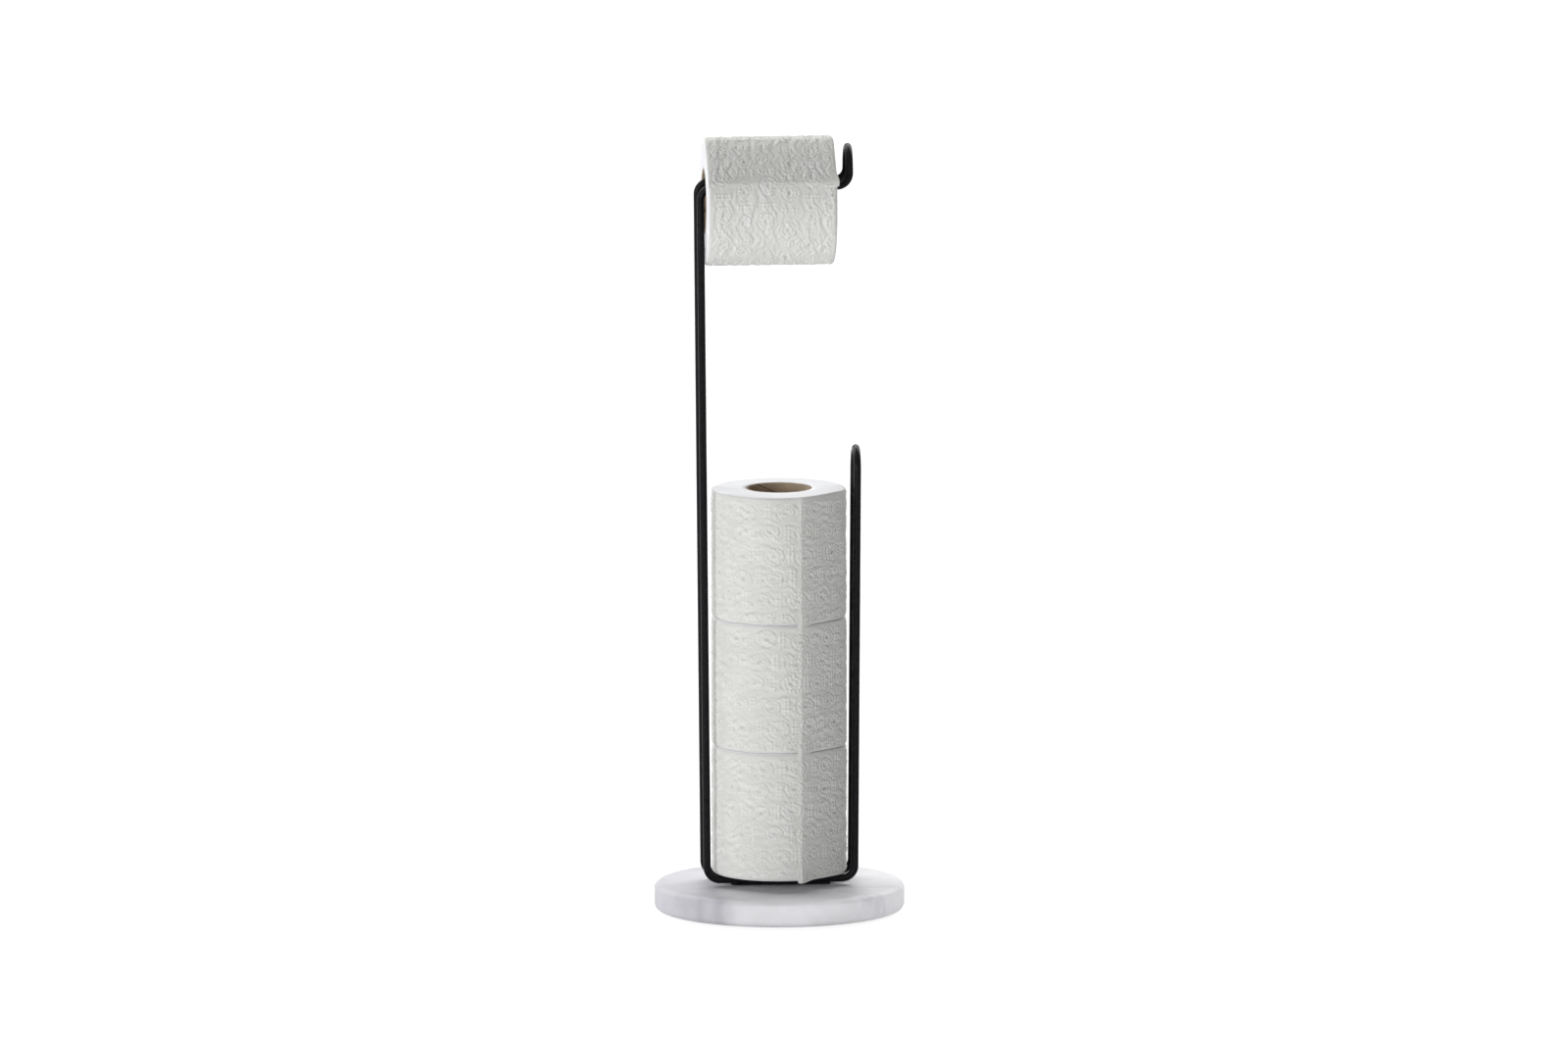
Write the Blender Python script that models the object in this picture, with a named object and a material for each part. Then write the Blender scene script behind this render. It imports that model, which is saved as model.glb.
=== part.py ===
# A free-standing toilet paper stand. One closed loop of round steel wire is doubled back on
# itself to make a pair of uprights on the left, an arm at the top and a shorter pair on the
# right. It stands on a steel plate screwed to a round marble base, keeps three rolls between
# its uprights and carries a fourth on its arm.
#
# X runs along the arm, Y from front to back and Z up. The origin is the middle of the base
# on the floor.

import math

import bmesh
import bpy
from mathutils import Matrix, Vector

MM = 0.001

# Clearances
SEAT_GAP = 0.3 * MM
CUT_OVERRUN = 1 * MM
MERGE_DISTANCE = 0.01 * MM

# Rubber foot pads under the base
PAD_DIAMETER = 14 * MM
PAD_THICKNESS = 1.5 * MM
PAD_EDGE_RADIUS = 0.4 * MM
PAD_INSET = 20 * MM
PADS = {
    "front_left": 225,
    "front_right": 315,
    "rear_right": 45,
    "rear_left": 135,
}

# Marble base
BASE_DIAMETER = 200 * MM
BASE_THICKNESS = 21 * MM
BASE_TOP_RADIUS = 5 * MM
BASE_BOTTOM_RADIUS = 5 * MM

# Steel plate that carries the wire. It reaches a little past the two wires' centre lines.
PLATE_LENGTH = 80 * MM
PLATE_LAP = 1 * MM
PLATE_THICKNESS = 1.5 * MM
PLATE_CORNER_RADIUS = 4 * MM
PLATE_EDGE_BEVEL = 0.4 * MM

# Screws, washers and weld nuts that hold the plate on the base
SCREW_END_DISTANCE = 12 * MM
SCREW_DIAMETER = 5 * MM
SCREW_TIP_RISE = 0.8 * MM
SCREW_HEAD_DIAMETER = 9.5 * MM
SCREW_HEAD_HEIGHT = 3.5 * MM
SCREW_HEAD_RADIUS = 1.6 * MM
SCREW_HEAD_RECESS = 4.9 * MM
SCREW_CLEARANCE = 0.5 * MM
NUT_ACROSS_FLATS = 8 * MM
NUT_BELOW_WIRE = 2 * MM
NUT_EDGE_BEVEL = 0.4 * MM
WASHER_DIAMETER = 12 * MM
WASHER_THICKNESS = 1 * MM
COUNTERBORE_CLEARANCE = 1 * MM
SCREW_SIDES = {"left": -1, "right": 1}

# Rolls
ROLL_LENGTH = 103 * MM
STORED_ROLL_DIAMETER = 107 * MM
HANGING_ROLL_DIAMETER = 102 * MM
ROLL_EDGE_RADIUS = 3 * MM
CORE_BORE = 50 * MM
CORE_WALL = 1.2 * MM
STORED_ROLLS = ("bottom", "middle", "top")

# Loose end of the paper: its edge stands proud, and the sheet behind it lies flat. The edge
# of a stored roll lies to the right of the front, and that of the hanging roll above it.
STORED_LOOSE_END_DEGREES = 15
HANGING_LOOSE_END_DEGREES = 24
LOOSE_FLAT_DEGREES = 56
LOOSE_END_RISE = 0.8 * MM
LOOSE_FLAT_DEPTH = 2.5 * MM

# Wire loop, and the play that the rolls have in it
WIRE_DIAMETER = 6 * MM
BEND_RADIUS = 10 * MM
UPRIGHT_LEAN_SHARE = 0.008
OVERALL_HEIGHT = 618 * MM
END_LOOP_STRAIGHT = 2 * MM
HAIRPIN_OVER_STACK = 34 * MM
STORED_SIDE_PLAY = 2.5 * MM
HANGING_SIDE_PLAY = 0.5 * MM
HANGING_END_PLAY = 2 * MM
PAIR_PLAY_IN_CORE = 10 * MM

# How finely the round forms are cut
BASE_SIDES = 96
SMALL_SIDES = 24
ROLL_SIDES = 72
CORE_SIDES = 48
WIRE_BEVEL_RESOLUTION = 4
BEND_STEP_DEGREES = 11.25
EDGE_STEP_DEGREES = 30

# The wire's loop is laid out round the rolls: its pair passes into a core, and its uprights
# stand on either side of a stored roll
wire_radius = WIRE_DIAMETER / 2
pair_spacing = CORE_BORE - WIRE_DIAMETER - PAIR_PLAY_IN_CORE
upright_spacing = STORED_ROLL_DIAMETER + 2 * STORED_SIDE_PLAY + WIRE_DIAMETER
end_loop_rise = BEND_RADIUS + END_LOOP_STRAIGHT + pair_spacing / 2
arm_height = OVERALL_HEIGHT - wire_radius - end_loop_rise

# Heights up through the base, each the underside of its piece
base_floor = PAD_THICKNESS + SEAT_GAP
base_top = base_floor + BASE_THICKNESS
plate_floor = base_top + SEAT_GAP
plate_top = plate_floor + PLATE_THICKNESS
foot_wire_height = plate_top + SEAT_GAP + wire_radius
nut_floor = plate_top + SEAT_GAP
nut_height = WIRE_DIAMETER - NUT_BELOW_WIRE
screw_seat = base_floor + SCREW_HEAD_RECESS + SCREW_HEAD_HEIGHT
washer_floor = screw_seat + SEAT_GAP
counterbore_top = washer_floor + WASHER_THICKNESS + SEAT_GAP
screw_length = nut_floor + nut_height + SCREW_TIP_RISE - screw_seat
screw_spacing = PLATE_LENGTH - 2 * SCREW_END_DISTANCE

# The bottom roll sits on the straight wires, or a little higher, where its rounded rim
# clears the bends into the uprights as it is drawn out
rim_room = BEND_RADIUS - wire_radius - SEAT_GAP - ROLL_EDGE_RADIUS
rim_overlap = STORED_ROLL_DIAMETER / 2 - ROLL_EDGE_RADIUS - (upright_spacing / 2 - BEND_RADIUS)
rim_drop = math.sqrt(rim_room**2 - rim_overlap**2)
stack_floor = max(
    foot_wire_height + wire_radius + SEAT_GAP,
    foot_wire_height + BEND_RADIUS - ROLL_EDGE_RADIUS - rim_drop,
)
roll_pitch = ROLL_LENGTH + SEAT_GAP
stack_top = stack_floor + len(STORED_ROLLS) * roll_pitch - SEAT_GAP

# The arm's two wires lie inside the core, which hangs on them by the top of its bore
core_reach = CORE_BORE / 2 - wire_radius - SEAT_GAP
hanging_height = arm_height - math.sqrt(core_reach**2 - (pair_spacing / 2) ** 2)

FINISHES = {
    "white_marble": ((0.83, 0.82, 0.84), 0.28, 0),
    "black_powder_coat": ((0.022, 0.022, 0.026), 0.42, 0.1),
    "zinc_plated_steel": ((0.62, 0.63, 0.64), 0.34, 1),
    "black_rubber": ((0.035, 0.035, 0.035), 0.75, 0),
    "tissue_paper": ((0.86, 0.86, 0.85), 0.92, 0),
    "grey_cardboard": ((0.34, 0.25, 0.18), 0.88, 0),
}


def clear_scene():
    for old in list(bpy.data.objects):
        bpy.data.objects.remove(old, do_unlink=True)


def make_materials():
    made = {}
    for name, (colour, roughness, metallic) in FINISHES.items():
        material = bpy.data.materials.new(name)
        material.use_nodes = True
        shader = material.node_tree.nodes["Principled BSDF"]
        shader.inputs["Base Color"].default_value = (*colour, 1)
        shader.inputs["Roughness"].default_value = roughness
        shader.inputs["Metallic"].default_value = metallic
        made[name] = material
    return made


def add_object(name, data, material=None):
    piece = bpy.data.objects.new(name, data)
    bpy.context.collection.objects.link(piece)
    if material:
        data.materials.append(material)
    return piece


def mesh_from(form, name, smooth_degrees=35):
    bmesh.ops.recalc_face_normals(form, faces=form.faces)
    mesh = bpy.data.meshes.new(name)
    form.to_mesh(mesh)
    form.free()
    mesh.shade_smooth()
    mesh.set_sharp_from_angle(angle=math.radians(smooth_degrees))
    return mesh


# A route of straight runs between the corners, with a round bend at each corner that has a
# radius. A corner is a point and its radius.
def rounded_route(corners, closed, step_degrees):
    route = []
    for index, (corner, radius) in enumerate(corners):
        if radius == 0:
            route.append(corner.copy())
            continue
        back = (corners[index - 1][0] - corner).normalized()
        on = (corners[(index + 1) % len(corners)][0] - corner).normalized()
        turn = math.pi - back.angle(on)
        centre = corner + (back + on).normalized() * radius / math.cos(turn / 2)
        start = corner + back * radius * math.tan(turn / 2) - centre
        axis = on.cross(back)
        steps = max(2, round(math.degrees(turn) / step_degrees))
        for step in range(steps + 1):
            spoke = Matrix.Rotation(turn * step / steps, 3, axis) @ start
            if route and (centre + spoke - route[-1]).length < MERGE_DISTANCE:
                continue
            route.append(centre + spoke)
    if closed and (route[0] - route[-1]).length < MERGE_DISTANCE:
        route.pop()
    return route


# A solid of revolution about Z. The profile runs from the axis, or round a bore, as
# (distance from the axis, height, corner radius).
def turned_mesh(name, profile, sides, closed=False):
    corners = [(Vector((across, 0, up)), radius) for across, up, radius in profile]
    points = rounded_route(corners, closed, EDGE_STEP_DEGREES)
    form = bmesh.new()
    verts = [form.verts.new(point) for point in points]
    edges = [form.edges.new(pair) for pair in zip(verts, verts[1:])]
    if closed:
        edges.append(form.edges.new((verts[-1], verts[0])))
    bmesh.ops.spin(
        form,
        geom=verts + edges,
        cent=(0, 0, 0),
        axis=(0, 0, 1),
        angle=math.tau,
        steps=sides,
        use_merge=True,
    )
    bmesh.ops.remove_doubles(form, verts=form.verts, dist=MERGE_DISTANCE)
    return mesh_from(form, name)


# A flat outline in the XY plane, pulled up to its thickness
def pulled_mesh(name, outline, height):
    form = bmesh.new()
    face = form.faces.new([form.verts.new(point) for point in outline])
    pulled = bmesh.ops.extrude_face_region(form, geom=[face])
    raised = [item for item in pulled["geom"] if isinstance(item, bmesh.types.BMVert)]
    bmesh.ops.translate(form, verts=raised, vec=(0, 0, height))
    return mesh_from(form, name)


# Closed rings of as many points each, skinned into one ring-shaped solid
def skinned_mesh(name, rings):
    form = bmesh.new()
    loops = [[form.verts.new(point) for point in ring] for ring in rings]
    for index, loop in enumerate(loops):
        following = loops[(index + 1) % len(loops)]
        for near in range(len(loop)):
            far = (near + 1) % len(loop)
            form.faces.new((loop[near], loop[far], following[far], following[near]))
    return mesh_from(form, name)


def add_bevel(piece, width, segments=2):
    bevel = piece.modifiers.new("edge bevel", "BEVEL")
    bevel.width = width
    bevel.segments = segments
    bevel.limit_method = "ANGLE"
    bevel.angle_limit = math.radians(50)


def cut(piece, cutter):
    cutter.hide_render = True
    cutter.display_type = "WIRE"
    boolean = piece.modifiers.new("cut " + cutter.name, "BOOLEAN")
    boolean.operation = "DIFFERENCE"
    boolean.object = cutter


def make_foot_pads(material):
    radius = PAD_DIAMETER / 2
    profile = (
        (0, 0, 0),
        (radius, 0, PAD_EDGE_RADIUS),
        (radius, PAD_THICKNESS, 0),
        (0, PAD_THICKNESS, 0),
    )
    mesh = turned_mesh("foot_pad", profile, SMALL_SIDES)
    mesh.materials.append(material)
    for corner, degrees in PADS.items():
        pad = add_object("foot_pad_" + corner, mesh)
        turn = Matrix.Rotation(math.radians(degrees), 3, "Z")
        pad.location = turn @ Vector((BASE_DIAMETER / 2 - PAD_INSET, 0, 0))


def make_marble_base(material):
    radius = BASE_DIAMETER / 2
    profile = (
        (0, 0, 0),
        (radius, 0, BASE_BOTTOM_RADIUS),
        (radius, BASE_THICKNESS, BASE_TOP_RADIUS),
        (0, BASE_THICKNESS, 0),
    )
    mesh = turned_mesh("marble_base", profile, BASE_SIDES)
    base = add_object("marble_base", mesh, material)
    base.location.z = base_floor

    hole_radius = SCREW_DIAMETER / 2 + SCREW_CLEARANCE
    counterbore_radius = WASHER_DIAMETER / 2 + COUNTERBORE_CLEARANCE
    counterbore_depth = counterbore_top - base_floor
    stepped_hole = (
        (0, -CUT_OVERRUN, 0),
        (counterbore_radius, -CUT_OVERRUN, 0),
        (counterbore_radius, counterbore_depth, 0),
        (hole_radius, counterbore_depth, 0),
        (hole_radius, BASE_THICKNESS + CUT_OVERRUN, 0),
        (0, BASE_THICKNESS + CUT_OVERRUN, 0),
    )
    for side, sign in SCREW_SIDES.items():
        mesh = turned_mesh("base_hole", stepped_hole, SMALL_SIDES)
        cutter = add_object("base_hole_" + side, mesh)
        cutter.location = (sign * screw_spacing / 2, 0, base_floor)
        cut(base, cutter)


def make_mounting_plate(material):
    half_length = PLATE_LENGTH / 2
    half_width = pair_spacing / 2 + PLATE_LAP
    corners = [
        (Vector((x, y, 0)), PLATE_CORNER_RADIUS)
        for x, y in (
            (-half_length, -half_width),
            (half_length, -half_width),
            (half_length, half_width),
            (-half_length, half_width),
        )
    ]
    outline = rounded_route(corners, True, EDGE_STEP_DEGREES)
    mesh = pulled_mesh("mounting_plate", outline, PLATE_THICKNESS)
    plate = add_object("mounting_plate", mesh, material)
    plate.location.z = plate_floor
    add_bevel(plate, PLATE_EDGE_BEVEL)

    hole_radius = SCREW_DIAMETER / 2 + SCREW_CLEARANCE
    hole = (
        (0, -CUT_OVERRUN, 0),
        (hole_radius, -CUT_OVERRUN, 0),
        (hole_radius, PLATE_THICKNESS + CUT_OVERRUN, 0),
        (0, PLATE_THICKNESS + CUT_OVERRUN, 0),
    )
    for side, sign in SCREW_SIDES.items():
        cutter = add_object("plate_hole_" + side, turned_mesh("plate_hole", hole, SMALL_SIDES))
        cutter.location = (sign * screw_spacing / 2, 0, plate_floor)
        cut(plate, cutter)


def make_fasteners(material):
    head_radius = SCREW_HEAD_DIAMETER / 2
    shank_radius = SCREW_DIAMETER / 2
    washer_radius = WASHER_DIAMETER / 2
    hole_radius = shank_radius + SEAT_GAP
    screw_profile = (
        (0, -SCREW_HEAD_HEIGHT, 0),
        (head_radius, -SCREW_HEAD_HEIGHT, SCREW_HEAD_RADIUS),
        (head_radius, 0, 0),
        (shank_radius, 0, 0),
        (shank_radius, screw_length, 0),
        (0, screw_length, 0),
    )
    washer_profile = (
        (hole_radius, 0, 0),
        (washer_radius, 0, 0),
        (washer_radius, WASHER_THICKNESS, 0),
        (hole_radius, WASHER_THICKNESS, 0),
    )
    thread_profile = (
        (0, -CUT_OVERRUN, 0),
        (hole_radius, -CUT_OVERRUN, 0),
        (hole_radius, nut_height + CUT_OVERRUN, 0),
        (0, nut_height + CUT_OVERRUN, 0),
    )
    corner_radius = NUT_ACROSS_FLATS / 2 / math.cos(math.pi / 6)
    hexagon = [
        Matrix.Rotation(math.tau * corner / 6, 3, "Z") @ Vector((corner_radius, 0, 0))
        for corner in range(6)
    ]
    for side, sign in SCREW_SIDES.items():
        x = sign * screw_spacing / 2
        mesh = turned_mesh("base_screw", screw_profile, SMALL_SIDES)
        screw = add_object("base_screw_" + side, mesh, material)
        screw.location = (x, 0, screw_seat)

        mesh = turned_mesh("screw_washer", washer_profile, SMALL_SIDES, closed=True)
        washer = add_object("screw_washer_" + side, mesh, material)
        washer.location = (x, 0, washer_floor)

        nut = add_object("weld_nut_" + side, pulled_mesh("weld_nut", hexagon, nut_height), material)
        nut.location = (x, 0, nut_floor)
        add_bevel(nut, NUT_EDGE_BEVEL, segments=1)
        mesh = turned_mesh("nut_thread", thread_profile, SMALL_SIDES)
        cutter = add_object("nut_thread_" + side, mesh)
        cutter.location = nut.location
        cut(nut, cutter)


# How far an upright's centre line stands from the middle: the uprights lean outwards
def upright_reach(height):
    return upright_spacing / 2 + UPRIGHT_LEAN_SHARE * (height - foot_wire_height)


# The hanging roll's left end, just clear of the leaning upright beside it
def hanging_left_x():
    lowest = hanging_height - HANGING_ROLL_DIAMETER / 2
    return wire_radius - upright_reach(lowest) + HANGING_SIDE_PLAY


# The wire's centre line: the rear half from the end loop round to the right hairpin, then
# the front half back again
def wire_corners():
    half_pair = pair_spacing / 2
    foot_x = upright_reach(foot_wire_height)
    arm_start_x = -upright_reach(arm_height)
    arm_end_x = hanging_left_x() + ROLL_LENGTH + HANGING_END_PLAY + BEND_RADIUS
    loop_top = OVERALL_HEIGHT - wire_radius
    hairpin_top = stack_top + HAIRPIN_OVER_STACK - wire_radius
    half = (
        (arm_end_x, loop_top, half_pair),
        (arm_end_x, arm_height, BEND_RADIUS),
        (arm_start_x, arm_height, BEND_RADIUS),
        (-foot_x, foot_wire_height, BEND_RADIUS),
        (foot_x, foot_wire_height, BEND_RADIUS),
        (upright_reach(hairpin_top), hairpin_top, half_pair),
    )
    rear = [(Vector((x, half_pair, z)), radius) for x, z, radius in half]
    front = [(Vector((x, -half_pair, z)), radius) for x, z, radius in reversed(half)]
    return rear + front


def make_wire_frame(material):
    route = rounded_route(wire_corners(), True, BEND_STEP_DEGREES)
    curve = bpy.data.curves.new("wire_frame", "CURVE")
    curve.dimensions = "3D"
    curve.bevel_depth = wire_radius
    curve.bevel_resolution = WIRE_BEVEL_RESOLUTION
    spline = curve.splines.new("POLY")
    spline.points.add(len(route) - 1)
    for point, place in zip(spline.points, route):
        point.co = (*place, 1)
    spline.use_cyclic_u = True
    spline.use_smooth = True
    return add_object("wire_frame", curve, material)


# The outline of a roll seen along its axis, with its loose end at the front. It starts on
# the raised edge of the loose end, crosses the flat sheet to the right of it, and comes round
# to the foot of that edge.
def roll_outline(radius, inset, height):
    outline = []
    for step in range(ROLL_SIDES + 1):
        degrees = 360 * step / ROLL_SIDES
        across = min(1, degrees / LOOSE_FLAT_DEGREES)
        rise = LOOSE_END_RISE * (1 - across)
        hollow = LOOSE_FLAT_DEPTH * math.sin(math.pi * across)
        spoke = Vector((0, -(radius + rise - hollow - inset), height))
        outline.append(Matrix.Rotation(math.radians(degrees), 3, "Z") @ spoke)
    return outline


def paper_mesh(name, radius):
    bore = CORE_BORE / 2 + CORE_WALL + SEAT_GAP
    half = ROLL_LENGTH / 2
    quarter_steps = round(90 / EDGE_STEP_DEGREES)
    edge = []
    for step in range(quarter_steps + 1):
        turn = math.radians(90 * step / quarter_steps)
        inset = ROLL_EDGE_RADIUS * (1 - math.sin(turn))
        height = half - ROLL_EDGE_RADIUS * (1 - math.cos(turn))
        edge.append((inset, height))
    bore_ring = [point.normalized() * bore for point in roll_outline(radius, 0, 0)]
    bore_foot = [point + Vector((0, 0, -half)) for point in bore_ring]
    bore_top = [point + Vector((0, 0, half)) for point in bore_ring]
    upper = [roll_outline(radius, inset, height) for inset, height in reversed(edge)]
    lower = [roll_outline(radius, inset, -height) for inset, height in edge]
    return skinned_mesh(name, [bore_foot, *lower, *upper, bore_top])


def core_mesh():
    bore = CORE_BORE / 2
    outside = bore + CORE_WALL
    half = ROLL_LENGTH / 2
    profile = (
        (bore, -half, 0),
        (outside, -half, 0),
        (outside, half, 0),
        (bore, half, 0),
    )
    return turned_mesh("core", profile, CORE_SIDES, closed=True)


# A roll is its core and its paper under one empty, which lies on the roll's own axis
def make_roll(label, radius, materials):
    centre = bpy.data.objects.new(label + "_roll", None)
    bpy.context.collection.objects.link(centre)
    core = add_object(label + "_core", core_mesh(), materials["grey_cardboard"])
    paper_shape = paper_mesh(label + "_paper", radius)
    paper = add_object(label + "_paper", paper_shape, materials["tissue_paper"])
    core.parent = centre
    paper.parent = centre
    return centre


def make_stored_rolls(materials):
    for level, name in enumerate(STORED_ROLLS):
        roll = make_roll("stored_" + name, STORED_ROLL_DIAMETER / 2, materials)
        roll.rotation_euler.z = math.radians(STORED_LOOSE_END_DEGREES)
        roll.location.z = stack_floor + ROLL_LENGTH / 2 + level * roll_pitch


# The hanging roll lies on its side with its upper end to the left, close to the upright
def make_hanging_roll(materials):
    roll = make_roll("hanging", HANGING_ROLL_DIAMETER / 2, materials)
    roll.rotation_mode = "ZYX"
    roll.rotation_euler = (0, -math.pi / 2, math.radians(HANGING_LOOSE_END_DEGREES))
    roll.location = (hanging_left_x() + ROLL_LENGTH / 2, 0, hanging_height)


def main():
    clear_scene()
    materials = make_materials()
    make_foot_pads(materials["black_rubber"])
    make_marble_base(materials["white_marble"])
    make_mounting_plate(materials["black_powder_coat"])
    make_fasteners(materials["zinc_plated_steel"])
    make_wire_frame(materials["black_powder_coat"])
    make_stored_rolls(materials)
    make_hanging_roll(materials)


main()
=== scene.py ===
# Toilet paper stand: a doubled loop of black wire on a white marble disc, with three rolls
# stored between its uprights and one more on its arm. Metres, X along the arm, front at -Y.

import math

import bmesh
import bpy
import numpy as np
from mathutils import Matrix, Vector


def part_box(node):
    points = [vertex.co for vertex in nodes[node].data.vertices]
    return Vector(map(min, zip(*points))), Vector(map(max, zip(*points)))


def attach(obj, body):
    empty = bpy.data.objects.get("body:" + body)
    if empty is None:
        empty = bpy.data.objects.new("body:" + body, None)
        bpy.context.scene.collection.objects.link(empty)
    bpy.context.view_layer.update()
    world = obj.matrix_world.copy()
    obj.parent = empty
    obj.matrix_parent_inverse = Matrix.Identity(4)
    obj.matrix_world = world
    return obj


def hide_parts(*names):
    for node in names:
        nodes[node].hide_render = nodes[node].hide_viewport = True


mm = 0.001

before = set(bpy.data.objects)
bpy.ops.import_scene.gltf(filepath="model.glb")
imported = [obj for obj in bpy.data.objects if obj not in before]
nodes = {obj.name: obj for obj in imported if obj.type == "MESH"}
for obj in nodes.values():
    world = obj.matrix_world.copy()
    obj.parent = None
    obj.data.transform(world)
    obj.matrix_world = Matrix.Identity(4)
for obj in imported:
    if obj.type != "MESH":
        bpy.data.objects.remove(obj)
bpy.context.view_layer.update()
tiny = 0.002 * mm  # points closer than this are one point
print("frame loaded")


# Small helpers for meshes

def addObject(name, data):
    added = bpy.data.objects.new(name, data)
    bpy.context.scene.collection.objects.link(added)
    return added


def makeObject(name, mesh, material, body, standsFor=()):
    piece = addObject(name, mesh)
    mesh.materials.append(material)
    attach(piece, body)
    if standsFor:
        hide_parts(*standsFor)
    return piece


def paintNode(name, material):
    nodes[name].data.materials.clear()
    nodes[name].data.materials.append(material)


def smooth(mesh, sharpDegrees):
    mesh.shade_smooth()
    mesh.set_sharp_from_angle(angle=math.radians(sharpDegrees))


def meshFrom(form, name, sharpDegrees=40):
    bmesh.ops.remove_doubles(form, verts=form.verts, dist=tiny)
    bmesh.ops.recalc_face_normals(form, faces=form.faces)
    mesh = bpy.data.meshes.new(name)
    form.to_mesh(mesh)
    form.free()
    smooth(mesh, sharpDegrees)
    return mesh


def evaluatedMesh(piece):
    graph = bpy.context.evaluated_depsgraph_get()
    return bpy.data.meshes.new_from_object(piece.evaluated_get(graph))


# A wire profile in the XZ plane from (distance, height, corner radius), corners rounded off
def profileForm(points, closed, arcSteps):
    form = bmesh.new()
    verts = [form.verts.new((across, 0, up)) for across, up, radius in points]
    for pair in zip(verts, verts[1:]):
        form.edges.new(pair)
    if closed:
        form.edges.new((verts[-1], verts[0]))
    for vert, (across, up, radius) in zip(verts, points):
        if radius:
            bmesh.ops.bevel(form, geom=[vert], offset=radius, offset_type="OFFSET",
                            segments=arcSteps, profile=0.5, affect="VERTICES", material=-1)
    return form


# The profile turned about the axis, each end closed with one flat face
def turned(name, points, steps, arcSteps=1, sharpDegrees=40, at=(0, 0, 0)):
    form = profileForm(points, False, arcSteps)
    bmesh.ops.spin(form, geom=form.verts[:] + form.edges[:], cent=(0, 0, 0), axis=(0, 0, 1),
                   angle=math.tau, steps=steps, use_merge=True)
    bmesh.ops.remove_doubles(form, verts=form.verts, dist=tiny)
    poles = [vert for vert in form.verts if vert.co.xy.length < tiny]
    bmesh.ops.dissolve_verts(form, verts=poles)
    bmesh.ops.translate(form, verts=form.verts, vec=at)
    return meshFrom(form, name, sharpDegrees)


def cutAway(piece, cutter, sharpDegrees):
    cut = piece.modifiers.new("cut", "BOOLEAN")
    cut.object = cutter
    piece.data = evaluatedMesh(piece)
    piece.modifiers.clear()
    bpy.data.objects.remove(cutter)
    smooth(piece.data, sharpDegrees)


# Small helpers for materials

def addNode(tree, kind, inputs=None, **settings):
    made = tree.nodes.new("ShaderNode" + kind)
    for key, value in settings.items():
        setattr(made, key, value)
    for key, value in (inputs or {}).items():
        if isinstance(value, bpy.types.NodeSocket):
            tree.links.new(value, made.inputs[key])
        else:
            made.inputs[key].default_value = value
    return made


def newMaterial(name, **sockets):
    material = bpy.data.materials.new(name)
    material.use_nodes = True
    tree = material.node_tree
    shader = tree.nodes["Principled BSDF"]
    for key, value in sockets.items():
        shader.inputs[key.replace("_", " ")].default_value = value
    return material, tree, shader


def noise(tree, coordinates, scale, detail=3, roughness=0.5, distortion=0):
    return addNode(tree, "TexNoise", {
        "Vector": coordinates, "Scale": scale, "Detail": detail,
        "Roughness": roughness, "Distortion": distortion,
    }).outputs["Fac"]


def spread(tree, value, fromLow, fromHigh, toLow, toHigh, kind="LINEAR"):
    return addNode(tree, "MapRange", {
        "Value": value, "From Min": fromLow, "From Max": fromHigh,
        "To Min": toLow, "To Max": toHigh,
    }, interpolation_type=kind).outputs["Result"]


def calculate(tree, operation, first, second=0.0):
    return addNode(tree, "Math", {0: first, 1: second}, operation=operation).outputs[0]


def blendColours(tree, factor, first, second):
    return addNode(tree, "Mix", {"Factor": factor, "A": first, "B": second},
                   data_type="RGBA").outputs[2]


def bump(tree, shader, height, look):
    relief = addNode(tree, "Bump", {
        "Height": height, "Distance": look["grainDepth"], "Strength": look["grainStrength"],
    })
    tree.links.new(relief.outputs["Normal"], shader.inputs["Normal"])


# Camera, at the photograph's angle

shot = {
    "azimuth": -4.5, "elevation": 8.993, "roll": 0.0935,  # degrees
    "aim": (4.21 * mm, 0, 312.48 * mm),
    "distance": 30, "clip": (1, 200),
    "pixelsPerMetre": 1279.7, "photoWidth": 1600,
}


# A unit vector outwards, with its azimuth counted from the front
def outwardAt(azimuth, elevation):
    turn, rise = math.radians(azimuth), math.radians(elevation)
    return Vector((math.sin(turn) * math.cos(rise), -math.cos(turn) * math.cos(rise),
                   math.sin(rise)))


def makeCamera():
    camera = addObject("camera", bpy.data.cameras.new("camera"))
    back = outwardAt(shot["azimuth"], shot["elevation"])
    camera.location = Vector(shot["aim"]) + back * shot["distance"]
    level = (-back).to_track_quat("-Z", "Y").to_matrix()
    tilt = Matrix.Rotation(-math.radians(shot["roll"]), 3, "Z")
    camera.rotation_euler = (level @ tilt).to_euler()
    width = shot["photoWidth"] / shot["pixelsPerMetre"]
    camera.data.lens = camera.data.sensor_width * shot["distance"] / width
    camera.data.clip_start, camera.data.clip_end = shot["clip"]
    bpy.context.scene.camera = camera


makeCamera()


# Light: two soft lights low at the front left and three high behind, over a pale floor that
# throws light up from below. No side gets so much that white paper clips. A low beam from the
# right reaches only the base. The room is dark but for what is seen or mirrored of it.

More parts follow.
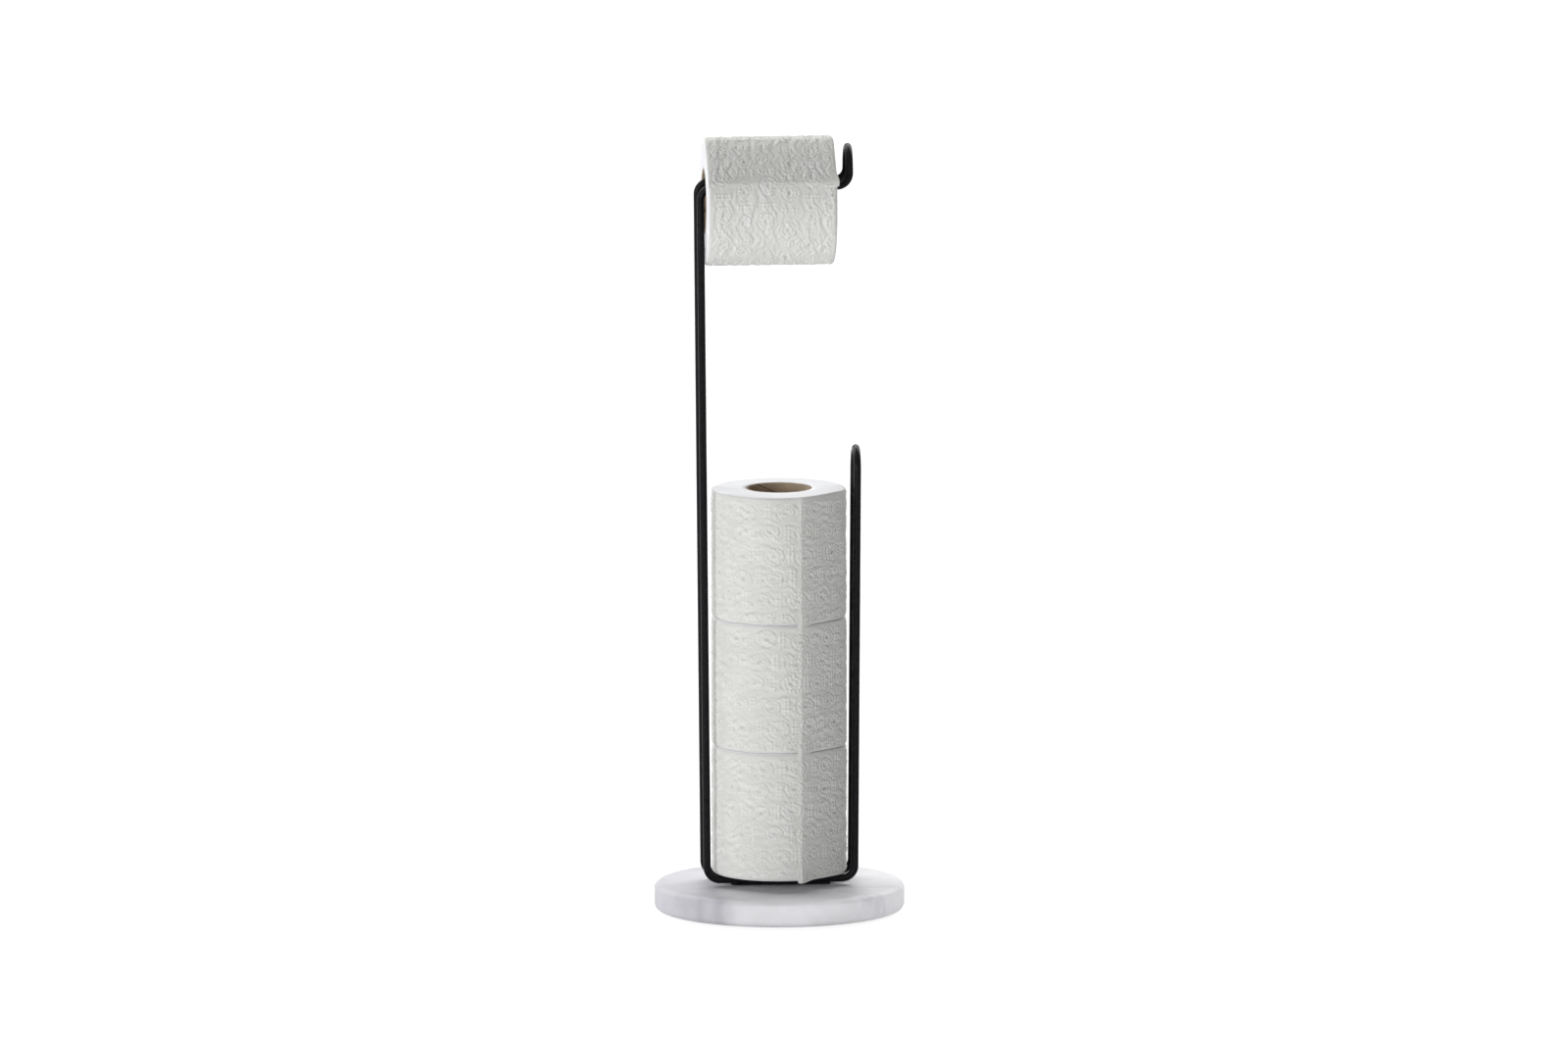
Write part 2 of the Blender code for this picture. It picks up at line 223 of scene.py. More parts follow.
studio = {
    "softboxes": {
        "front": {"azimuth": -25, "elevation": 7, "softness": 24, "strength": 0.98},
        "side": {"azimuth": -60, "elevation": 7, "softness": 24, "strength": 1.10},
        "rear left": {"azimuth": -134, "elevation": 37, "softness": 34, "strength": 1.42},
        "rear": {"azimuth": 180, "elevation": 44, "softness": 34, "strength": 1.08},
        "rear right": {"azimuth": 138, "elevation": 37, "softness": 34, "strength": 1.42},
    },
    "softboxDistance": 2,  # they shine from afar, so any will do
    "beam": {
        "azimuth": 45, "distance": 2.5, "height": 0.10, "halfAngle": 20,
        "reach": 28 * mm,  # how high it reaches at the disc's rim
        "strength": 72, "lampRadius": 5 * mm,
    },
    "roomLevel": 0.03,
    "floorWidth": 80, "floorColour": (0.82, 0.82, 0.825, 1),
    "floorGlow": 1.7, "glowShare": 0.5,  # what the camera sees in the floor, to show it white
}


def placeLamp(name, lamp, place, towards):
    holder = addObject(name, lamp)
    holder.location = place
    holder.rotation_euler = towards.to_track_quat("-Z", "Y").to_euler()


def makeSoftbox(name, settings):
    lamp = bpy.data.lights.new(name, "SUN")
    lamp.energy = settings["strength"]
    lamp.angle = math.radians(settings["softness"])
    outward = outwardAt(settings["azimuth"], settings["elevation"])
    placeLamp(name, lamp, outward * studio["softboxDistance"], -outward)


# The beam's upper edge falls on the disc's rim, and the rest of it on the floor
def makeBeam():
    beam = studio["beam"]
    lamp = bpy.data.lights.new("low beam", "SPOT")
    lamp.energy = beam["strength"]
    lamp.spot_size = 2 * math.radians(beam["halfAngle"])
    lamp.spot_blend = 0
    lamp.shadow_soft_size = beam["lampRadius"]
    outward = outwardAt(beam["azimuth"], 0)
    run = beam["distance"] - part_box("marble_base")[1].x
    pitch = math.atan2(beam["height"] - beam["reach"], run) + math.radians(beam["halfAngle"])
    towards = -outward * math.cos(pitch) - Vector((0, 0, math.sin(pitch)))
    place = outward * beam["distance"] + Vector((0, 0, beam["height"]))
    placeLamp("low beam", lamp, place, towards)


def seenDirectly(tree):
    path = addNode(tree, "LightPath").outputs
    mirrored = calculate(tree, "MAXIMUM", path["Is Glossy Ray"], path["Is Transmission Ray"])
    return calculate(tree, "MAXIMUM", path["Is Camera Ray"], mirrored)


def makeRoom():
    world = bpy.data.worlds.new("pale room")
    bpy.context.scene.world = world
    world.use_nodes = True
    tree = world.node_tree
    background = tree.nodes["Background"]
    background.inputs["Color"].default_value = (1, 1, 1, 1)
    strength = calculate(tree, "MAXIMUM", seenDirectly(tree), studio["roomLevel"])
    tree.links.new(strength, background.inputs["Strength"])


def makeFloor():
    form = bmesh.new()
    bmesh.ops.create_grid(form, x_segments=1, y_segments=1, size=studio["floorWidth"] / 2)
    mesh = bpy.data.meshes.new("floor")
    form.to_mesh(mesh)
    form.free()
    addObject("floor", mesh)
    material = bpy.data.materials.new("pale floor")
    material.use_nodes = True
    tree = material.node_tree
    tree.nodes.remove(tree.nodes["Principled BSDF"])
    matte = addNode(tree, "BsdfDiffuse", {"Color": studio["floorColour"]}).outputs[0]
    glow = addNode(tree, "Emission", {"Strength": studio["floorGlow"]}).outputs[0]
    share = calculate(tree, "MULTIPLY", seenDirectly(tree), studio["glowShare"])
    both = addNode(tree, "MixShader", {0: share, 1: matte, 2: glow}).outputs[0]
    tree.links.new(both, tree.nodes["Material Output"].inputs["Surface"])
    mesh.materials.append(material)


bpy.context.scene.view_settings.view_transform = "Standard"
for name, settings in studio["softboxes"].items():
    makeSoftbox(name, settings)
makeBeam()
makeRoom()
makeFloor()
print("camera, light and floor ready")


# Materials of the stand. A noise is given as its scale, detail, roughness and distortion, and
# a range as the noise's values from and up to which it counts.

marbleLook = {
    "colour": (0.83, 0.823, 0.852, 1), "greyColour": (0.615, 0.608, 0.648, 1),
    "veinColour": (0.47, 0.46, 0.515, 1), "shine": 0.3,
    "tilt": (0.3, 0.25, 0.7), "stretch": (1, 2.2, 1),  # of clouds and veins
    "greyFrom": -57 * mm, "greyTo": -37 * mm,  # the disc is greyer left of here
    "greyNoise": (28, 4, 0.6), "greyWander": 12 * mm,
    "cloudNoise": (13, 4, 0.55, 0.6), "cloudRange": (0.40, 0.75),
    "cloudShare": 0.86,  # how bright the clouds stay
    "veinNoise": (7, 5, 0.55, 1.2), "veinWidth": 0.05,
    "breakNoise": (20, 2), "breakRange": (0.48, 0.72), "veinStrength": 0.36,
    "streaks": ((-69 * mm, 6.0 * mm, 0.55), (-55 * mm, 5.0 * mm, 0.45)),  # X, width, strength
    "streakNoise": (60, 4, 0.6), "streakWander": 5 * mm,
    "streakFrom": -55 * mm, "streakTo": -78 * mm,  # Y, where they begin and are strongest
    "polishNoise": (40, 3), "polishRange": (0.3, 0.7), "roughness": (0.45, 0.57),
    "grain": (500, 3), "grainDepth": 0.03 * mm, "grainStrength": 0.5,
}


def whiteMarble():
    look = marbleLook
    material, tree, shader = newMaterial("white marble", Specular_IOR_Level=look["shine"])
    place = addNode(tree, "TexCoord").outputs["Object"]
    tilted = addNode(tree, "Mapping", {
        "Vector": place, "Rotation": look["tilt"], "Scale": look["stretch"],
    }).outputs[0]
    axes = addNode(tree, "SeparateXYZ", {0: place}).outputs
    wobble = spread(tree, noise(tree, place, *look["greyNoise"]), 0, 1,
                    -look["greyWander"], look["greyWander"])
    drifting = calculate(tree, "ADD", axes["X"], wobble)
    greyZone = spread(tree, drifting, look["greyFrom"], look["greyTo"], 1, 0, "SMOOTHSTEP")
    body = blendColours(tree, greyZone, look["colour"], look["greyColour"])
    clouds = noise(tree, tilted, *look["cloudNoise"])
    cloudShade = spread(tree, clouds, *look["cloudRange"], 1, look["cloudShare"], "SMOOTHSTEP")
    body = addNode(tree, "VectorMath", {0: body, "Scale": cloudShade},
                   operation="SCALE").outputs["Vector"]
    wandering = noise(tree, tilted, *look["veinNoise"])
    offCentre = calculate(tree, "ABSOLUTE", calculate(tree, "SUBTRACT", wandering, 0.5))
    line = spread(tree, offCentre, 0, look["veinWidth"], 1, 0, "SMOOTHSTEP")
    broken = spread(tree, noise(tree, place, *look["breakNoise"]), *look["breakRange"],
                    0, look["veinStrength"], "SMOOTHSTEP")
    veins = calculate(tree, "MULTIPLY", line, broken)

    # two soft grey streaks come down the rim at the front left
    ragged = spread(tree, noise(tree, place, *look["streakNoise"]), 0, 1,
                    -look["streakWander"], look["streakWander"])
    across = calculate(tree, "ADD", axes["X"], ragged)
    atFront = spread(tree, axes["Y"], look["streakFrom"], look["streakTo"], 0, 1, "SMOOTHSTEP")
    for streak, width, strength in look["streaks"]:
        away = calculate(tree, "ABSOLUTE", calculate(tree, "SUBTRACT", across, streak))
        soft = spread(tree, away, 0, width, strength, 0, "SMOOTHSTEP")
        veins = calculate(tree, "MAXIMUM", veins, calculate(tree, "MULTIPLY", soft, atFront))
    colour = blendColours(tree, veins, body, look["veinColour"])
    tree.links.new(colour, shader.inputs["Base Color"])
    polish = noise(tree, place, *look["polishNoise"])
    roughness = spread(tree, polish, *look["polishRange"], *look["roughness"])
    tree.links.new(roughness, shader.inputs["Roughness"])
    bump(tree, shader, noise(tree, place, *look["grain"]), look)
    return material


coatLook = {
    "colour": (0.0062, 0.0062, 0.0072, 1), "wornColour": (0.0115, 0.0115, 0.0135, 1),
    "ripple": (260, 2), "wornRange": (0.35, 0.75), "shine": 0.07,
    "glossNoise": (90, 3), "glossRange": (0.3, 0.7), "roughness": (0.25, 0.36),
    "grain": (1500, 2), "grainShare": 0.15, "grainDepth": 0.05 * mm, "grainStrength": 0.5,
}


def blackPowderCoat():
    look = coatLook
    material, tree, shader = newMaterial("black powder coat", Specular_IOR_Level=look["shine"])
    place = addNode(tree, "TexCoord").outputs["Object"]
    ripple = noise(tree, place, *look["ripple"])
    worn = spread(tree, ripple, *look["wornRange"], 0, 1)
    colour = blendColours(tree, worn, look["colour"], look["wornColour"])
    tree.links.new(colour, shader.inputs["Base Color"])
    gloss = noise(tree, place, *look["glossNoise"])
    roughness = spread(tree, gloss, *look["glossRange"], *look["roughness"])
    tree.links.new(roughness, shader.inputs["Roughness"])
    grain = calculate(tree, "MULTIPLY", noise(tree, place, *look["grain"]), look["grainShare"])
    bump(tree, shader, calculate(tree, "ADD", ripple, grain), look)
    return material


zincLook = {
    "colour": (0.42, 0.43, 0.44, 1), "paleColour": (0.58, 0.58, 0.565, 1),
    "mottleNoise": (420, 4), "mottleRange": (0.3, 0.7), "roughness": (0.30, 0.46),
    "grain": (1400, 2), "grainDepth": 0.02 * mm, "grainStrength": 0.5,
}


def zincPlate():
    look = zincLook
    material, tree, shader = newMaterial("zinc plate", Metallic=1)
    place = addNode(tree, "TexCoord").outputs["Object"]
    mottle = spread(tree, noise(tree, place, *look["mottleNoise"]), *look["mottleRange"], 0, 1)
    colour = blendColours(tree, mottle, look["colour"], look["paleColour"])
    tree.links.new(colour, shader.inputs["Base Color"])
    tree.links.new(spread(tree, mottle, 0, 1, *look["roughness"]), shader.inputs["Roughness"])
    bump(tree, shader, noise(tree, place, *look["grain"]), look)
    return material


rubberLook = {
    "colour": (0.028, 0.028, 0.028, 1), "dustColour": (0.075, 0.073, 0.070, 1),
    "dustNoise": (300, 4), "dustRange": (0.45, 0.75), "roughness": 0.78,
    "grain": (1800, 2), "grainDepth": 0.05 * mm, "grainStrength": 0.7,
}


def footRubber():
    look = rubberLook
    material, tree, shader = newMaterial("foot rubber", Roughness=look["roughness"])
    place = addNode(tree, "TexCoord").outputs["Object"]
    dust = spread(tree, noise(tree, place, *look["dustNoise"]), *look["dustRange"], 0, 1)
    colour = blendColours(tree, dust, look["colour"], look["dustColour"])
    tree.links.new(colour, shader.inputs["Base Color"])
    bump(tree, shader, noise(tree, place, *look["grain"]), look)
    return material


marble = whiteMarble()
blackCoat = blackPowderCoat()
zinc = zincPlate()
rubber = footRubber()
print("stand materials ready")


# Wire loop: one ring of edges drawn along the route. A straight run is an extrusion and a
# bend is a spin, as the wire is bent in the workshop.

wireLoop = {
    "wire": 6 * mm, "ringSides": 28, "bendSteps": 14, "hairpinSteps": 20,
    "bend": 10 * mm,
    "footSpacing": 118 * mm,  # between the uprights at the foot
    "lean": 0.008,  # the uprights lean out by this share of their height
    "endStraight": 2 * mm,  # straight wire between the arm's last bend and its end loop
    "endPlay": 2 * mm,  # room for the hanging roll beside the last bend
    "overStack": 34 * mm,  # height of the right hairpin above the rolls
    "weldHeight": 535 * mm, "weldLength": 3.2 * mm, "weldProud": 0.12 * mm,
    "weldSwell": (0.6, 1, 0.6, 0),  # shares of its proudness, along its length
}


# The route's start, and its corners with their radii
def wireCorners():
    low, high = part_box("wire_frame")
    radius = wireLoop["wire"] / 2
    halfPair = high.y - radius
    foot, loopTop = low.z + radius, high.z - radius
    arm = loopTop - halfPair - wireLoop["endStraight"] - wireLoop["bend"]
    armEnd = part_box("hanging_core")[1].x + wireLoop["endPlay"] + wireLoop["bend"]
    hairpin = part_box("stored_top_core")[1].z + wireLoop["overStack"] - radius

    def reach(height):
        return wireLoop["footSpacing"] / 2 + wireLoop["lean"] * (height - foot)

    half = (
        (-reach(foot), foot, wireLoop["bend"]),
        (-reach(arm), arm, wireLoop["bend"]),
        (armEnd, arm, wireLoop["bend"]),
        (armEnd, loopTop, halfPair),
    )
    right = (
        (reach(hairpin), hairpin, halfPair),
        (reach(foot), foot, wireLoop["bend"]),
    )

    def placed(corners, y):
        return [(Vector((x, y, z)), bend) for x, z, bend in corners]

    start = Vector((-reach(wireLoop["weldHeight"]), -halfPair, wireLoop["weldHeight"]))
    front, rear = placed(half[1:], -halfPair), placed(half[::-1] + right[::-1], halfPair)
    return start, front + rear + placed(right + half[:1], -halfPair)


def edgesOf(geometry):
    return [item for item in geometry if isinstance(item, bmesh.types.BMEdge)]


def pushRing(form, ring, vector):
    moved = bmesh.ops.extrude_edge_only(form, edges=ring)["geom"]
    verts = [item for item in moved if isinstance(item, bmesh.types.BMVert)]
    bmesh.ops.translate(form, verts=verts, vec=vector)
    fresh = set(verts)
    return [edge for edge in edgesOf(moved) if fresh.issuperset(edge.verts)]


def sizeRing(ring, centre, radius):
    for vert in {vert for edge in ring for vert in edge.verts}:
        vert.co = centre + (vert.co - centre).normalized() * radius


def makeWireLoop():
    start, corners = wireCorners()
    wireRadius = wireLoop["wire"] / 2
    form = bmesh.new()
    upwards = (corners[0][0] - start).normalized()
    facing = upwards.to_track_quat("Z", "Y").to_matrix().to_4x4()
    bmesh.ops.create_circle(form, segments=wireLoop["ringSides"], radius=wireRadius,
                            matrix=Matrix.Translation(start) @ facing)
    ring = form.edges[:]
    here = start
    # the closing weld, dressed almost flush
    step = upwards * wireLoop["weldLength"] / len(wireLoop["weldSwell"])
    for share in wireLoop["weldSwell"]:
        ring = pushRing(form, ring, step)
        here = here + step
        sizeRing(ring, here, wireRadius + wireLoop["weldProud"] * share)
    for index, (corner, radius) in enumerate(corners):
        back = (here - corner).normalized()
        following = corners[index + 1][0] if index + 1 < len(corners) else start
        on = (following - corner).normalized()
        turn = math.pi - back.angle(on)
        tangent = corner + back * radius * math.tan(turn / 2)
        if (tangent - here).length > tiny:
            ring = pushRing(form, ring, tangent - here)
        centre = corner + (back + on).normalized() * radius / math.cos(turn / 2)
        steps = wireLoop["hairpinSteps"] if radius > wireLoop["bend"] else wireLoop["bendSteps"]
        spun = bmesh.ops.spin(form, geom=ring, cent=centre, axis=back.cross(on) * -1,
                              angle=turn, steps=steps)
        ring = edgesOf(spun["geom_last"])
        here = corner + on * radius * math.tan(turn / 2)
    pushRing(form, ring, start - here)
    mesh = meshFrom(form, "wire_loop")
    makeObject("wire_loop", mesh, blackCoat, "stand", ["wire_frame"])


makeWireLoop()
print("wire loop ready")


# Weld beads, laid in overlapping ripples between the foot wires and the plate

weldBead = {
    "ringSides": 12, "radius": 1.4 * mm, "ripples": 13, "stepsPerRipple": 4,
    "ripple": 1.05 * mm, "ripplePart": 0.13,  # pitch, and share of the radius
    "endPart": 0.35,  # the radius's share at both ends
    "fromEnd": 4 * mm, "fromWire": 2.5 * mm, "abovePlate": 0.7 * mm, "sharpDegrees": 80,
}


def makeWeldBead(name, start, direction):
    steps = weldBead["ripples"] * weldBead["stepsPerRipple"]
    step = direction * weldBead["ripple"] / weldBead["stepsPerRipple"]

    def radiusAt(index):
        fromEnd = min(index, steps - index) / weldBead["stepsPerRipple"]
        taper = min(1, weldBead["endPart"] + fromEnd)
        wave = abs(math.sin(math.pi * index / weldBead["stepsPerRipple"]))
        return weldBead["radius"] * taper * (1 + weldBead["ripplePart"] * (wave - 0.5))

    form = bmesh.new()
    facing = direction.to_track_quat("Z", "Y").to_matrix().to_4x4()
    bmesh.ops.create_circle(form, cap_ends=True, segments=weldBead["ringSides"],
                            radius=radiusAt(0), matrix=Matrix.Translation(start) @ facing)
    ring = form.edges[:]
    here = start
    for index in range(1, steps + 1):
        ring = pushRing(form, ring, step)
        here = here + step
        sizeRing(ring, here, radiusAt(index))
    bmesh.ops.holes_fill(form, edges=ring, sides=0)
    mesh = meshFrom(form, name, weldBead["sharpDegrees"])
    makeObject(name, mesh, blackCoat, "stand")


def makeWeldBeads():
    low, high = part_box("mounting_plate")
    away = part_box("wire_frame")[1].y - wireLoop["wire"] / 2 - weldBead["fromWire"]
    height = high.z + weldBead["abovePlate"]
    leftEnd, rightEnd = low.x + weldBead["fromEnd"], high.x - weldBead["fromEnd"]
    for side, x, direction in (("left", leftEnd, 1), ("right", rightEnd, -1)):
        for row, y in (("front", -away), ("rear", away)):
            makeWeldBead("weld_bead_" + row + "_" + side, Vector((x, y, height)),
                         Vector((direction, 0, 0)))


makeWeldBeads()
print("weld beads ready")


# Screws with rounded heads, hexagonal sockets and threaded shanks

socketScrew = {
    "steps": 48, "arcSteps": 5, "sharpDegrees": 50,
    "head": 9.5 * mm, "headHeight": 3.5 * mm, "headEdge": 1.6 * mm,
    "shank": 5 * mm, "thread": 12 * mm, "pitch": 0.8 * mm, "threadDepth": 0.35 * mm,
    "socketSides": 6, "socket": 3 * mm, "socketDepth": 2 * mm,  # across flats
}


def makeSocketScrew(side):
    look = socketScrew
    low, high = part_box("base_screw_" + side)
    middle = (low.x + high.x) / 2
    seat = low.z + look["headHeight"]
    crest = look["shank"] / 2
    root = crest - look["threadDepth"]
    points = [(0, low.z, 0), (look["head"] / 2, low.z, look["headEdge"]),
              (look["head"] / 2, seat, 0), (crest, seat, 0)]
    for turn in range(round(look["thread"] / look["pitch"])):
        height = high.z - look["thread"] + turn * look["pitch"]
        points += [(crest, height, 0), (root, height + look["pitch"] / 2, 0)]
    points += [(root, high.z, 0), (0, high.z, 0)]
    name = "socket_screw_" + side
    mesh = turned(name, points, look["steps"], look["arcSteps"], look["sharpDegrees"],
                  (middle, 0, 0))
    screw = makeObject(name, mesh, zinc, "stand", ["base_screw_" + side])
    form = bmesh.new()
    toCorner = look["socket"] / 2 / math.cos(math.pi / look["socketSides"])
    bmesh.ops.create_cone(form, cap_ends=True, segments=look["socketSides"],
                          depth=look["socketDepth"] * 2, radius1=toCorner, radius2=toCorner,
                          matrix=Matrix.Translation((middle, 0, low.z)))
    cutAway(screw, addObject("socket", meshFrom(form, "socket")), look["sharpDegrees"])


for side in ("left", "right"):
    makeSocketScrew(side)
    paintNode("screw_washer_" + side, zinc)
    paintNode("weld_nut_" + side, zinc)
paintNode("mounting_plate", blackCoat)
print("screws and plate ready")


# Marble disc

marbleDisc = {
    "steps": 192, "arcSteps": 8, "sharpDegrees": 60,
    "topEase": 5 * mm, "bottomEase": 5 * mm,
    "flatRing": 0.6 * mm,  # narrow flat ring inside each eased edge
    "counterbore": 14 * mm, "hole": 6 * mm, "holeSteps": 48,
    "overWasher": 0.3 * mm,  # room above the washer
    "cutPast": 1 * mm,  # how far the holes' cutter reaches past the disc
}


def makeMarbleDisc():
    look = marbleDisc
    low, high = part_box("marble_base")
    radius = high.x
    points = (
        (0, low.z, 0),
        (radius - look["bottomEase"] - look["flatRing"], low.z, 0),
        (radius, low.z, look["bottomEase"]),
        (radius, high.z, look["topEase"]),
        (radius - look["topEase"] - look["flatRing"], high.z, 0),
        (0, high.z, 0),
    )
    mesh = turned("marble_disc", points, look["steps"], look["arcSteps"], look["sharpDegrees"])
    disc = makeObject("marble_disc", mesh, marble, "stand", ["marble_base"])
    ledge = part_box("screw_washer_left")[1].z + look["overWasher"]
    below, above = low.z - look["cutPast"], high.z + look["cutPast"]
    hole = (
        (0, below, 0),
        (look["counterbore"] / 2, below, 0),
        (look["counterbore"] / 2, ledge, 0),
        (look["hole"] / 2, ledge, 0),
        (look["hole"] / 2, above, 0),
        (0, above, 0),
    )
    for side in ("left", "right"):
        screwLow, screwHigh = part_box("base_screw_" + side)
        middle = ((screwLow.x + screwHigh.x) / 2, 0, 0)
        cutter = addObject("hole_" + side, turned("hole", hole, look["holeSteps"], at=middle))
        cutAway(disc, cutter, look["sharpDegrees"])


makeMarbleDisc()
print("marble disc ready")


# Rubber feet

rubberFoot = {
    "steps": 48, "arcSteps": 3,
    "edge": 0.5 * mm, "dish": 6 * mm, "dishDepth": 0.4 * mm,
}


def makeRubberFeet():
    look = rubberFoot
    for corner in ("front_left", "front_right", "rear_left", "rear_right"):
        low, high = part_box("foot_pad_" + corner)
        radius = (high.x - low.x) / 2
        points = (
            (0, look["dishDepth"], 0),
            (look["dish"] / 2, look["dishDepth"], 0),
            (look["dish"] / 2 + look["edge"], 0, 0),
            (radius, 0, look["edge"]),
            (radius, high.z, 0),
            (0, high.z, 0),
        )
        middle = ((low.x + high.x) / 2, (low.y + high.y) / 2, 0)
        name = "rubber_foot_" + corner
        mesh = turned(name, points, look["steps"], look["arcSteps"], at=middle)
        makeObject(name, mesh, rubber, "stand", ["foot_pad_" + corner])


makeRubberFeet()
print("rubber feet ready")


# Materials of the rolls. Their map is in metres: u runs round the roll, and v along it and on
# across the end faces. The relief attribute is the height of the embossing, from -1 to 1; the
# side paper turns it into painted light on the raised dots and painted shade in the hollows.

paperSurface = {"Roughness": 0.95, "Specular_IOR_Level": 0.15}

sideLook = {
    "colour": (0.795, 0.795, 0.770, 1), "shadeColour": (0.750, 0.750, 0.722, 1),
    "shadeNoise": (45, 3), "shadeRange": (0.35, 0.7),
    # painted light on the raised dots and painted shade in the hollows, from the relief's height
    "dotPaintedLightColour": (0.90, 0.90, 0.88, 1), "dotPaintedLightRange": (0.15, 0.9),
    "hollowPaintedShadeColour": (0.57, 0.57, 0.555, 1), "hollowPaintedShadeRange": (-0.1, -0.9), "hollowPaintedShadeShare": 0.8,
    "crepe": (1700, 3, 0.6), "crepeStretch": (1, 0.16, 1), "crepeShare": 0.7,
    "fibres": (2600, 3, 0.7), "fibreShare": 0.5,
    "grainDepth": 0.06 * mm, "grainStrength": 0.8,
}


def tissueSide():
    look = sideLook
    material, tree, shader = newMaterial("tissue side", **paperSurface)
    sheet = addNode(tree, "UVMap", uv_map="paperMap").outputs[0]
    stretched = addNode(tree, "Mapping", {"Vector": sheet, "Scale": look["crepeStretch"]})
    crepe = noise(tree, stretched.outputs[0], *look["crepe"])
    fibres = noise(tree, sheet, *look["fibres"])
    soft = spread(tree, noise(tree, sheet, *look["shadeNoise"]), *look["shadeRange"], 0, 1)
    colour = blendColours(tree, soft, look["colour"], look["shadeColour"])
    # Painted light on raised dots and wrinkle ridges, and painted shade in hollows and wrinkle
    # troughs
    relief = addNode(tree, "Attribute", attribute_name="relief").outputs["Fac"]
    paintedLightOnDots = spread(tree, relief, *look["dotPaintedLightRange"], 0, 1)
    colour = blendColours(tree, paintedLightOnDots, colour, look["dotPaintedLightColour"])
    paintedShadeInHollows = spread(tree, relief, *look["hollowPaintedShadeRange"], 0, look["hollowPaintedShadeShare"])
    colour = blendColours(tree, paintedShadeInHollows, colour, look["hollowPaintedShadeColour"])
    tree.links.new(colour, shader.inputs["Base Color"])
    crepe = calculate(tree, "MULTIPLY", crepe, look["crepeShare"])
    fibres = calculate(tree, "MULTIPLY", fibres, look["fibreShare"])
    bump(tree, shader, calculate(tree, "ADD", crepe, fibres), look)
    return material


# The ends are painted lighter than the side paper of the same tissue: painted light, for the
# bright light on the ends.
endLook = {
    "colour": (0.95, 0.955, 0.97, 1), "shadeColour": (0.89, 0.895, 0.915, 1),
    "layers": (1 / (0.35 * mm), 2, 0.6, 0.3), "layerStretch": (0.03, 1, 1),
    "bands": (260, 3, 0.6), "shadeRange": (0.75, 1.3),
    "fuzz": (1800, 2), "fuzzShare": 0.35,
    "grainDepth": 0.12 * mm, "grainStrength": 0.7,
}


def tissueEnd():
    look = endLook
    material, tree, shader = newMaterial("tissue end", **paperSurface)
    sheet = addNode(tree, "UVMap", uv_map="paperMap").outputs[0]
    wound = addNode(tree, "Mapping", {"Vector": sheet, "Scale": look["layerStretch"]}).outputs[0]
    layers = noise(tree, wound, *look["layers"])
    bands = noise(tree, wound, *look["bands"])
    shade = spread(tree, calculate(tree, "ADD", layers, bands), *look["shadeRange"], 0, 1)
    colour = blendColours(tree, shade, look["colour"], look["shadeColour"])
    tree.links.new(colour, shader.inputs["Base Color"])
    fuzz = calculate(tree, "MULTIPLY", noise(tree, sheet, *look["fuzz"]), look["fuzzShare"])
    bump(tree, shader, calculate(tree, "ADD", layers, fuzz), look)
    return material


boardLook = {
    "innerColours": ((0.50, 0.405, 0.305, 1), (0.38, 0.295, 0.215, 1)),  # pale, dark
    # the outer ply shows only through the inner ply's seam: its dark board is partly a glue line
    # and partly painted shade in the gap
    "seamGlueAndShadeColours": ((0.17, 0.125, 0.085, 1), (0.11, 0.08, 0.055, 1)),
    "roughness": 0.88, "shine": 0.25,
    "fibres": (900, 4, 0.7), "fibreStretch": (1, 1, 0.5),
    "patches": (70, 4, 0.6), "shadeRange": (0.7, 1.3),
    "grainDepth": 0.08 * mm, "grainStrength": 0.6,
}


def coreBoard(name, colours):
    look = boardLook
    material, tree, shader = newMaterial(name, Roughness=look["roughness"],
                                         Specular_IOR_Level=look["shine"])
    place = addNode(tree, "TexCoord").outputs["Object"]
    stretched = addNode(tree, "Mapping", {"Vector": place, "Scale": look["fibreStretch"]})
    fibres = noise(tree, stretched.outputs[0], *look["fibres"])
    patches = noise(tree, place, *look["patches"])
    shade = spread(tree, calculate(tree, "ADD", fibres, patches), *look["shadeRange"], 0, 1)
    tree.links.new(blendColours(tree, shade, *colours), shader.inputs["Base Color"])
    bump(tree, shader, fibres, look)
    return material


sidePaper = tissueSide()
endPaper = tissueEnd()
innerBoard = coreBoard("core board", boardLook["innerColours"])
seamGlueAndShadeBoard = coreBoard("core board, glue and painted seam shade", boardLook["seamGlueAndShadeColours"])
print("roll materials ready")


# Rolls. Each is made standing on the origin's axis, with its loose end at its front, and then
# put in its place.

rollShape = {
    "columns": 530, "rows": 154, "endRows": 6, "edge": 2.2 * mm, "edgeSteps": 4,
    "core": 50 * mm, "coreWall": 1.2 * mm, "fit": 0.3 * mm,
    "flatDegrees": 56, "flatDepth": 3.8 * mm,  # the sheet behind the loose end lies flat
    "waveDepth": 0.20 * mm, "wrinkleDepth": 0.65 * mm,
    "wrinklePaintedShade": 0.75,  # how much painted light and shade the wrinkles put on the paper, beside the dots
    "creaseReach": 5 * mm, "creasePart": 0.3,  # wrinkles are weaker this near to the crease
    "embossDepth": 0.80 * mm, "embossFade": 4 * mm, "embossStart": 0.5,
    "sideDepth": 1.0 * mm,  # the relief fades out this far in from the side
    "endDepth": 0.7 * mm,  # faces this near to an end get the end's paper
    "mapDepth": 4 * mm,  # where v turns the corner, in from the side
}

storedRoll = {"across": 107 * mm, "looseDegrees": 15, "lying": False}

rolls = {
    "stored_bottom": {"body": "stored_roll_bottom", **storedRoll},
    "stored_middle": {"body": "stored_roll_middle", **storedRoll},
    "stored_top": {"body": "stored_roll_top", **storedRoll},
    "hanging": {"body": "hanging_roll", "across": 102 * mm, "looseDegrees": 24, "lying": True},
}

